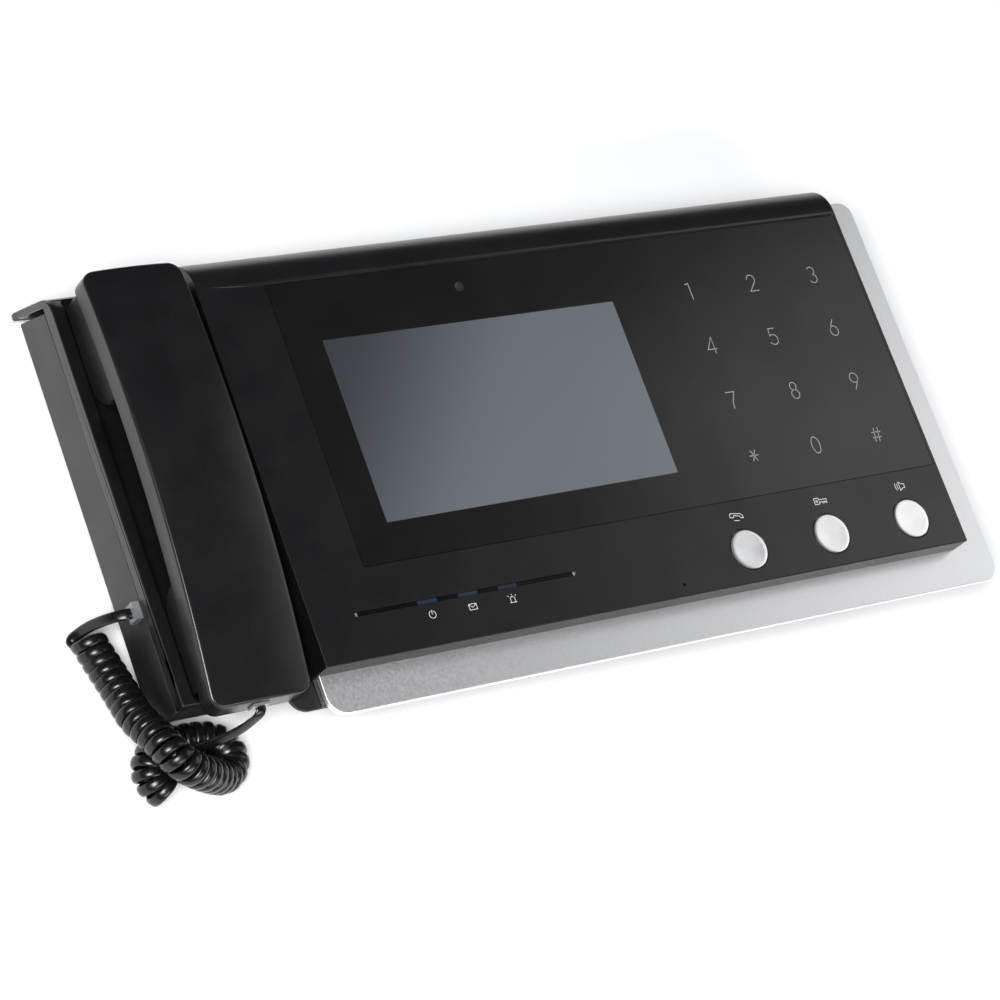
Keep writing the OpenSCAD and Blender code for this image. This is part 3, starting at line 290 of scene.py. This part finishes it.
HANDSET_ROUTE = [
    (-185.2, -99.35, 44.7), (-185.2, -100.6, 44.7), (-186.2, -102.3, 43), (-188, -103.2, 39.5),
    (-190.5, -104, 35.5), (-194, -104.6, 31.5), (-198.5, -104.8, 27), (-203, -104.6, 22.5),
    (-207.5, -104.8, 18.5), (-211, -106.2, 15.6), (-213.2, -109.6, 12.6), (-216, -113.2, 9.8),
    (-219.5, -114.3, 8),
]
COIL_D, FLAT_W, FLAT_T = 15.6, 4.8, 2.7
COIL_PITCH = 4.9
STEP, PER_TURN = 0.25, 20  # spacing along the coil's axis, and points in each turn


def coil_helix():
    """Centre line of the wound part, and at each point the direction away from the coil's own axis."""
    axis = catmull(COIL_ROUTE, STEP)
    t = tangents(axis)
    curvature = np.linalg.norm(np.gradient(t, axis=0), axis=1) / STEP
    curvature = np.convolve(curvature, np.ones(21) / 21, "same")
    radius = (COIL_D - FLAT_T) / 2
    side = np.zeros_like(t)
    n = np.array([0, 0, 1.0])
    for i, d in enumerate(t):  # the frame is carried along without twist
        n = n - d * n.dot(d)
        n /= np.linalg.norm(n)
        side[i] = n
    other = np.cross(t, side)
    turn = np.cumsum(2 * math.pi * STEP / (COIL_PITCH * (1 - 0.3 * np.minimum(1, radius * curvature))))
    s = np.arange(len(axis)) * STEP
    start = math.radians(118)
    last = start - (turn[-1] - turn[0])
    # the winding ends just past its top, facing the handset
    last -= (last + math.radians(30) + math.pi) % (2 * math.pi) - math.pi
    turn = turn[0] + (turn - turn[0]) * (start - last) / (turn[-1] - turn[0])
    count = int((turn[-1] - turn[0]) / (2 * math.pi) * PER_TURN)
    at = np.interp(np.linspace(turn[0], turn[-1], count), turn, s)
    phase = start - np.linspace(0, turn[-1] - turn[0], count)
    pick = lambda a: np.column_stack([np.interp(at, s, a[:, k]) for k in range(3)])
    out = pick(side) * np.cos(phase)[:, None] + pick(other) * np.sin(phase)[:, None]
    return pick(axis) + radius * out, out, pick(t)


def swept_flat(path, wide, out, thick):
    """Verts and faces of a closed, rounded flat section along a path, thinner where thick is under 1."""
    k = 14
    a = np.linspace(0, 2 * math.pi, k, endpoint=False)
    u = np.sign(np.cos(a)) * np.abs(np.cos(a)) ** 0.85 * FLAT_W / 2
    v = np.sign(np.sin(a)) * np.abs(np.sin(a)) ** 0.9 * FLAT_T / 2
    out = out * thick[:, None]
    verts = path[:, None] + wide[:, None] * u[None, :, None] + out[:, None] * v[None, :, None]
    verts = verts.reshape(-1, 3)
    verts[:, 2] = np.maximum(verts[:, 2], 0.05)
    faces = [(i * k + j, i * k + (j + 1) % k, (i + 1) * k + (j + 1) % k, (i + 1) * k + j)
             for i in range(len(path) - 1) for j in range(k)]
    faces += [tuple(range(k))[::-1], tuple((len(path) - 1) * k + j for j in range(k))]
    return verts * MM, faces


def curly_cord():
    """The whole flat cord as one mesh: lead, winding and lead, between the two plugs."""
    helix, out, along = coil_helix()
    lead = catmull(BASE_ROUTE[:-2] + [tuple(helix[0]), tuple(helix[2])], 0.8)
    lead = lead[:np.linalg.norm(lead - helix[0], axis=1).argmin()]
    tail = catmull([tuple(helix[-3]), tuple(helix[-1])] + HANDSET_ROUTE[:-2][::-1], 0.8)
    tail = tail[np.linalg.norm(tail - helix[-1], axis=1).argmin() + 1:]
    path = np.vstack([lead, helix, tail])
    t = tangents(path)
    # the flat side turns from the plug's way into the coil's, and back
    w0, w1 = np.array([0, -1.0, 0]), np.array([1.0, 0, 0])
    mix = lambda a, b, n: np.array([a + (b - a) * x for x in np.linspace(0, 1, n) ** 1.5])
    wide = np.vstack([mix(w0, along[0], len(lead)), along, mix(along[-1], w1, len(tail))])
    wide = wide - t * np.sum(wide * t, axis=1)[:, None]
    wide /= np.linalg.norm(wide, axis=1)[:, None]
    at = np.arange(len(path))
    inside = np.minimum(at - len(lead) + 6, len(path) - len(tail) + 6 - at)
    verts, faces = swept_flat(path, wide, np.cross(t, wide), np.interp(inside, [-12, 0], [0.62, 1.0]))
    s = Shader("cord_jacket")
    s.set(Base_Color=s.ramp(s.noise(90, 3), (0.002, 0.002, 0.0025), (0.004, 0.004, 0.0045), 0.3, 0.7),
          Roughness=s.ramp(s.noise(200, 4), 0.23, 0.30, 0.3, 0.7), Specular_IOR_Level=0.42)
    s.bump(s.noise(700, 3), 0.06, 0.00006)
    cord = new_object("curly_cord_wound", verts, faces, None, [s.mat], smooth=60)
    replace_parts(cord, "base_lead", "curly_cord", "handset_lead")
    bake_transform(cord)


# ---- Printed signs ----

def arc(cx, cy, rx, ry, start, end, n=18):
    return [(cx + rx * math.cos(math.radians(start + (end - start) * i / n)),
             cy + ry * math.sin(math.radians(start + (end - start) * i / n))) for i in range(n + 1)]


def ribbons(name, strokes, at, scale, width, z, mat):
    """Flat printed strokes: each stroke is a line of points, closed when its ends meet."""
    verts, faces = [], []
    for stroke in strokes:
        p = np.array(stroke, float) * scale
        closed = np.linalg.norm(p[0] - p[-1]) < 1e-6
        p = p[:-1] if closed else p
        n = len(p)
        base = len(verts)
        for i in range(n):
            a = p[i] - p[i - 1] if (i or closed) else p[1] - p[0]
            b = p[(i + 1) % n] - p[i] if (i < n - 1 or closed) else a
            a, b = a / np.linalg.norm(a), b / np.linalg.norm(b)
            normal = np.array([-(a + b)[1], (a + b)[0]])
            normal /= max(np.linalg.norm(normal), 1e-9)
            k = width / 2 / max(0.45, normal.dot([-a[1], a[0]]))
            ext = np.zeros(2) if closed or 0 < i < n - 1 else (b if i else -a) * width * 0.3
            for q in (p[i] + normal * k + ext, p[i] - normal * k + ext):
                verts.append(((at[0] + q[0]) * MM, (at[1] + q[1]) * MM, z * MM))
        for i in range(n if closed else n - 1):
            j = (i + 1) % n
            faces.append((base + 2 * i, base + 2 * i + 1, base + 2 * j + 1, base + 2 * j))
    return new_object(name, verts, faces, "monitor", [mat], smooth=0)


GLYPHS = {
    "1": [[(0.10, 0.93), (0.33, 1.0), (0.33, 0)]],
    "2": [arc(0.29, 0.72, 0.27, 0.28, 175, -32) + [(0.02, 0), (0.60, 0)]],
    "3": [arc(0.28, 0.765, 0.23, 0.235, 150, -90), arc(0.28, 0.265, 0.27, 0.265, 90, -150)],
    "4": [[(0.46, 0), (0.46, 1), (0.0, 0.27), (0.62, 0.27)]],
    "5": [[(0.54, 1), (0.14, 1), (0.08, 0.54)] + arc(0.27, 0.31, 0.30, 0.31, 125, -150)],
    "6": [[(0.42, 1), (0.20, 0.68)] + arc(0.29, 0.30, 0.28, 0.30, 160, -195, 26)],
    "7": [[(0.0, 1), (0.60, 1), (0.30, 0.38), (0.24, 0)]],
    "8": [arc(0.3, 0.77, 0.215, 0.23, 270, -90, 24), arc(0.3, 0.27, 0.27, 0.27, 90, 450, 26)],
    "9": [[(0.18, 0), (0.40, 0.32)] + arc(0.31, 0.70, 0.28, 0.30, -20, -375, 26)],
    "0": [arc(0.3, 0.5, 0.28, 0.5, 0, 360, 30)],
    "*": [[(0.3 - 0.3 * c, 0.5 - 0.36 * d), (0.3 + 0.3 * c, 0.5 + 0.36 * d)]
          for c, d in ((1, 0), (0.5, 0.866), (-0.5, 0.866))],
    "#": [[(0.12, 0.08), (0.26, 0.92)], [(0.40, 0.08), (0.54, 0.92)], [(0.02, 0.66), (0.66, 0.66)],
          [(0.0, 0.34), (0.62, 0.34)]],
}
CALL_SIGN = [[(-3.2, -0.1), (-3.0, 1.1), (-2.2, 1.5), (2.2, 0.8), (3.1, 0.1), (3.2, -1.1), (2.1, -1.0), (1.5, -0.1),
              (-1.1, 0.4), (-1.8, -0.5), (-3.2, -0.1)], [(-1.6, -1.7), (0.9, -2.0)]]
KEY_SIGN = [[(-3.1, -1.3), (-3.1, 1.3), (-0.7, 1.3), (-0.7, 0.55), (3.1, 0.55), (3.1, -1.1), (2.4, -1.1), (2.4, -0.45),
             (1.6, -0.45), (1.6, -1.1), (0.9, -1.1), (0.9, -0.45), (-0.7, -0.45), (-0.7, -1.3), (-3.1, -1.3)],
            arc(-1.9, 0, 0.45, 0.45, 0, 360, 12)]
HORN_SIGN = [[(2.8, 0.9), (1.7, 0.9), (0.2, 1.9), (0.2, -1.9), (1.7, -0.9), (2.8, -0.9), (2.8, 0.9)],
             [(-0.7, 1.2), (-0.9, 0.0), (-0.7, -1.2)], [(-1.7, 1.6), (-2.0, 0.0), (-1.7, -1.6)]]
POWER_SIGN = [arc(0, 0, 1.45, 1.45, 112, 428, 26), [(0, 0.1), (0, 1.75)]]
LETTER_SIGN = [[(-1.7, -1.1), (-1.7, 1.2), (1.7, 1.2), (1.7, -1.1), (-1.7, -1.1)], [(-1.5, 0.9), (0, -0.2), (1.5, 0.9)]]
ALARM_SIGN = [[(-1.5, -1.3), (1.5, -1.3)], [(-1.0, -1.2), (-1.0, 0.1)] + arc(0, 0.1, 1.0, 1.0, 180, 0, 12) + [(1.0, -1.2)],
              [(0, 1.6), (0, 2.1)], [(-1.5, 1.2), (-1.9, 1.6)], [(1.5, 1.2), (1.9, 1.6)]]
LAMPS_X = (-98.0, -77.6, -57.2)  # places of the small signs and of the light bar's windows


def printed_signs():
    """Touch key signs, the signs over the push buttons and under the light bar, and the sensor's window."""
    s = Shader("key_print")
    s.set(Base_Color=s.ramp(s.noise(400, 3), (0.24, 0.24, 0.25), (0.30, 0.30, 0.31), 0.3, 0.7), Roughness=0.5)
    w = Shader("sign_print")
    w.set(Base_Color=w.ramp(w.noise(400, 3), (0.60, 0.60, 0.60), (0.72, 0.72, 0.71), 0.3, 0.7), Roughness=0.5)
    for row, line in enumerate(("123", "456", "789", "*0#")):
        for col, sign in enumerate(line):
            name = {"*": "star", "#": "hash"}.get(sign, sign)
            place = (94.3 + 36.4 * col - 2.4, 51.7 - 28 * row - 4.1)
            ribbons("key_" + name, GLYPHS[sign], place, 8.2, 0.43, 54.015, s.mat)
    for name, sign, x in (("call", CALL_SIGN, 72.0), ("key", KEY_SIGN, 120.9), ("horn", HORN_SIGN, 168.2)):
        ribbons("sign_" + name, sign, (x, -59.2), 1.12, 0.27, 54.02, w.mat)
    for name, sign, x in zip(("power", "letter", "alarm"), (POWER_SIGN, LETTER_SIGN, ALARM_SIGN), LAMPS_X):
        ribbons("sign_" + name, sign, (x, -77.5), 1.12, 0.22, 54.02, w.mat)
    eye = moulded("sensor_window", (0.018, 0.018, 0.020), (0.030, 0.030, 0.033), (0.2, 0.3), 0.0)
    profile = [(2.3, 54.0), (2.3, 54.03), (1.9, 54.06), (1.8, 54.03), (0.2, 54.03)]
    turned("sensor_dot", profile, (-27.0, 68.8), "monitor", [eye], 64)


# ---- Handset's front shell ----

HX, H_MID, H_HALF = -185.2, -2.05, (23.4, 96.15)
ARCH, ARCH_Y, ARCH_Z, CROWN = 560.0, 27.0, -496.5, 185.0


def shell_z(x, y, depth, crown=1.0):
    c = (math.sqrt(CROWN**2 - (x - HX) ** 2) - math.sqrt(CROWN**2 - H_HALF[0] ** 2)) * crown
    return ARCH_Z + math.sqrt((ARCH + c - depth) ** 2 - (y - ARCH_Y) ** 2)


def plan_ring(inset):
    """Rounded rectangle of the handset's plan, with the same number of points at every inset."""
    corner, n_corner, n_long, n_short = 6.0, 8, 44, 12
    w, l = H_HALF[0] - inset, H_HALF[1] - inset
    r = min(max(corner - inset, 0.6), w * 0.98)
    out = []
    for cx, cy, start, n, step in (
            (w - r, -l + r, -90, n_long, (0, 1)), (w - r, l - r, 0, n_short, (-1, 0)),
            (-w + r, l - r, 90, n_long, (0, -1)), (-w + r, -l + r, 180, n_short, (1, 0))):
        out += [(cx + r * math.cos(math.radians(start + 90 * i / n_corner)),
                 cy + r * math.sin(math.radians(start + 90 * i / n_corner))) for i in range(n_corner + 1)]
        run = 2 * ((l - r) if step[1] else (w - r))
        x, y = out[-1]
        out += [(x + step[0] * run * i / n, y + step[1] * run * i / n) for i in range(1, n)]
    return [(HX + x, H_MID + y) for x, y in out]


def handset_front(mat):
    """Lofted shell whose rings are (inset, depth below the crown, share of the crown), from back to front."""
    f = 1.1  # radius of the front edge
    rings = [(23.2, 10, 0), (15, 10, 0), (8, 10, 0), (2.5, 10, 0), (0.3, 10, 0), (0, 9.7, 0), (0, 5, 0.5), (0, f, 1)]
    rings += [(f * (1 - math.cos(a)), f * (1 - math.sin(a)), 1) for a in np.linspace(0.2, math.pi / 2, 7)]
    rings += [(i, 0, 1) for i in (2.2, 3.5, 5, 7, 9, 11, 13, 15, 17, 19, 21, 22.4, 23.2)]
    verts, faces = [], []
    for inset, depth, crown in rings:
        verts += [(x * MM, y * MM, shell_z(x, y, depth, crown) * MM) for x, y in plan_ring(inset)]
    n = len(verts) // len(rings)
    for k in range(len(rings) - 1):
        faces += [(k * n + i, k * n + (i + 1) % n, (k + 1) * n + (i + 1) % n, (k + 1) * n + i) for i in range(n)]
    faces += [tuple(range(n))[::-1], tuple((len(rings) - 1) * n + i for i in range(n))]
    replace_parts(new_object("handset_front_shell", verts, faces, "handset", [mat], smooth=32), "handset_front")


# ---- Turned pieces ----

def turned(name, profile, at, body, mats, sides=96):
    """Solid of revolution about a vertical axis, from (radius, height) pairs in millimetres."""
    verts, faces = [], []
    for r, z in profile:
        verts += [((at[0] + r * math.cos(2 * math.pi * i / sides)) * MM,
                   (at[1] + r * math.sin(2 * math.pi * i / sides)) * MM, z * MM) for i in range(sides)]
    for k in range(len(profile) - 1):
        faces += [(k * sides + i, k * sides + (i + 1) % sides, (k + 1) * sides + (i + 1) % sides, (k + 1) * sides + i)
                  for i in range(sides)]
    faces += [tuple(range(sides))[::-1], tuple((len(profile) - 1) * sides + i for i in range(sides))]
    return new_object(name, verts, faces, body, mats, smooth=30)


def push_buttons():
    """Spun caps with a slightly dished face and a thin rounded rim."""
    r = 9.6
    for name, x in (("call", 72.1), ("unlock", 120.0), ("speaker", 167.9)):
        profile = [(11.1, 49.6), (11.1, 50.6), (r, 50.6), (r, 54.0), (r - 0.12, 54.3), (r - 0.4, 54.46), (r - 0.8, 54.5)]
        profile += [(q, 54.5 - 0.10 * (1 - (q / 8.8) ** 2)) for q in (7.5, 6, 4.5, 3, 1.5, 0.3)]
        look = spun_metal((x * MM, -0.0755, 0.0))
        cap = turned(name + "_cap", profile, (x, -75.5), name + "_button", [look])
        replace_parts(cap, name + "_button")


# ---- Light bar with its three windows ----

HALF_WINDOW, TIP = 4.8, 1.3  # half of a window's length, and length of a pale tip


def light_bar():
    """The bar in its groove, dark along its run, with a bluish window over each small sign and pale tips."""
    bm = clean_bmesh("light_bar")
    low, high = min(v.co.x for v in bm.verts) / MM, max(v.co.x for v in bm.verts) / MM
    for x in [low + TIP, high - TIP] + [c + d for c in LAMPS_X for d in (-HALF_WINDOW, HALF_WINDOW)]:
        cut_across(bm, (x, 0, 0), (1, 0, 0))
    for f in bm.faces:
        x = f.calc_center_median().x / MM
        lit = any(abs(x - c) < HALF_WINDOW for c in LAMPS_X)
        f.material_index = 2 if (x < low + TIP or x > high - TIP) else int(lit)
    window = moulded("bar_window", (0.012, 0.016, 0.032), (0.018, 0.024, 0.044), (0.16, 0.24), 0.0)
    tip = moulded("bar_tip", (0.16, 0.165, 0.175), (0.22, 0.225, 0.235), (0.16, 0.24), 0.0)
    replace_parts(mesh_object("light_bar_windows", bm, "monitor", [PIPE, window, tip]), "light_bar")


# ---- Glass with the screen's window ----

SCREEN = ((-104.0, 50.1), (-34.0, 51.9))


def touch_glass(glass, screen):
    """The CAD glass, with the screen's window as its own faces."""
    (left, right), (bottom, top) = SCREEN
    bm = clean_bmesh("touch_glass")
    for x in (left, right):
        cut_across(bm, (x, 0, 0), (1, 0, 0))
    for y in (bottom, top):
        cut_across(bm, (0, y, 0), (0, 1, 0))
    for f in bm.faces:
        c = f.calc_center_median() / MM
        f.material_index = int(f.normal.z > 0.9 and left < c.x < right and bottom < c.y < top)
    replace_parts(mesh_object("touch_glass_printed", bm, "monitor", [glass, screen]), "touch_glass")


def screen_look():
    """Idle screen: grey-blue, with a painted reflection that leaves it darker at its upper left corner, and a faint
    grid in its gloss.
    """
    s = Shader("screen_painted_reflection")
    # painted reflection: the base colour ramps from dark at the upper left to lighter across the screen, standing in
    # for reflected light
    m = s.node("Mapping", {"Vector": s.place, "Rotation": (0, 0, math.radians(35.7)), "Scale": (1, 1, 1)})
    x = s.node("SeparateXYZ", {"Vector": m.outputs[0]}).outputs[0]
    r = s.node("ValToRGB", {"Fac": s.ramp(x, 0.0, 1.0, -0.112, -0.018)})
    r.color_ramp.interpolation = "EASE"
    r.color_ramp.elements[0].color = (0.030, 0.033, 0.039, 1)
    r.color_ramp.elements[1].color = (0.098, 0.109, 0.122, 1)
    pixels = s.node("TexWave", {"Vector": s.place, "Scale": 500}, wave_type="BANDS", bands_direction="X")
    s.set(Base_Color=r.outputs[0], Roughness=s.ramp(pixels.outputs["Fac"], 0.16, 0.20))
    return s.mat


camera()
studio()
curly_cord()
BLACK = moulded("black_gloss", (0.0035, 0.0035, 0.004), (0.0055, 0.0055, 0.006), (0.26, 0.32), 0.04)
SATIN = moulded("black_satin", (0.006, 0.006, 0.0065), (0.009, 0.009, 0.0095), (0.42, 0.50), 0.12, 1800)
GLASS = moulded("printed_glass", (0.0030, 0.0030, 0.0033), (0.0042, 0.0042, 0.0046), (0.20, 0.24), 0.0)
SILVER = metal("satin_silver", (0.90, 0.90, 0.91), 0.42)
STEEL = metal("zinc_steel", (0.62, 0.63, 0.65), 0.38, (1, 6, 1), 300)
BOARD = moulded("board_green", (0.010, 0.075, 0.030), (0.018, 0.12, 0.05), (0.30, 0.42), 0.10, 900)
RUBBER = moulded("soft_rubber", (0.012, 0.012, 0.012), (0.020, 0.020, 0.020), (0.70, 0.80), 0.25, 1500)
PART = moulded("dark_part", (0.012, 0.012, 0.013), (0.020, 0.020, 0.021), (0.45, 0.55), 0.15, 1200)
CREAM = moulded("nylon", (0.60, 0.57, 0.48), (0.68, 0.65, 0.56), (0.42, 0.50), 0.06)
GREEN = moulded("terminal_green", (0.03, 0.20, 0.06), (0.05, 0.27, 0.08), (0.40, 0.48), 0.08)
CLEAR = moulded("clear_plug", (0.10, 0.105, 0.11), (0.17, 0.175, 0.18), (0.12, 0.2), 0.0)
PIPE = moulded("light_pipe", (0.0006, 0.0007, 0.001), (0.0012, 0.0014, 0.002), (0.14, 0.2), 0.0)

LOOKS = {"board": BOARD, "shield": STEEL, "bracket": STEEL, "screws": STEEL, "spring": STEEL, "microphone": STEEL,
         "boot": RUBBER, "ring": RUBBER, "pads": RUBBER, "bar": PIPE, "plug": CLEAR, "terminal": GREEN,
         "handset_jack": CREAM, "handset_socket": CREAM, "ethernet": STEEL, "weight": STEEL}
for node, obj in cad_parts.items():
    look = next((m for key, m in LOOKS.items() if key in node), PART)
    obj.data.materials.clear()
    obj.data.materials.append(look)

refined("front_cover", [BLACK], 0.6, lambda m: m.z > 41 and (
    near(m.x, -155.1) or near(m.x, 195.3) or (near(m.y, -91.3) and m.z > 53)) or
    0.25 * (m.z > 53.9 and m.y < -55))
refined("cradle_cover", [BLACK], 0.6, lambda m: near(m.x, -215.5) or near(m.x, -155.4) or m.y < -91 or
        0.4 * (m.z > 38.8))
refined("rear_cover", [SATIN], 0.5, lambda m: near(m.x, -215.5) or near(m.x, 189.3) or
        (m.z < 8.2 and m.y > 90))
refined("backing_frame", [SATIN], 0.4)
refined("trim_plate", [SILVER], 0.45)
refined("wall_bracket", [STEEL], 0.3, lambda m: m.z > 2.5)
refined("handset_back", [SATIN], 1.6, lambda m: (near(abs(m.x - HX), 21.6) and m.z < 50) or (
    m.z < 34 and abs(m.x - HX) > 10), body="handset")
handset_front(BLACK)
push_buttons()
light_bar()
touch_glass(GLASS, screen_look())
printed_signs()
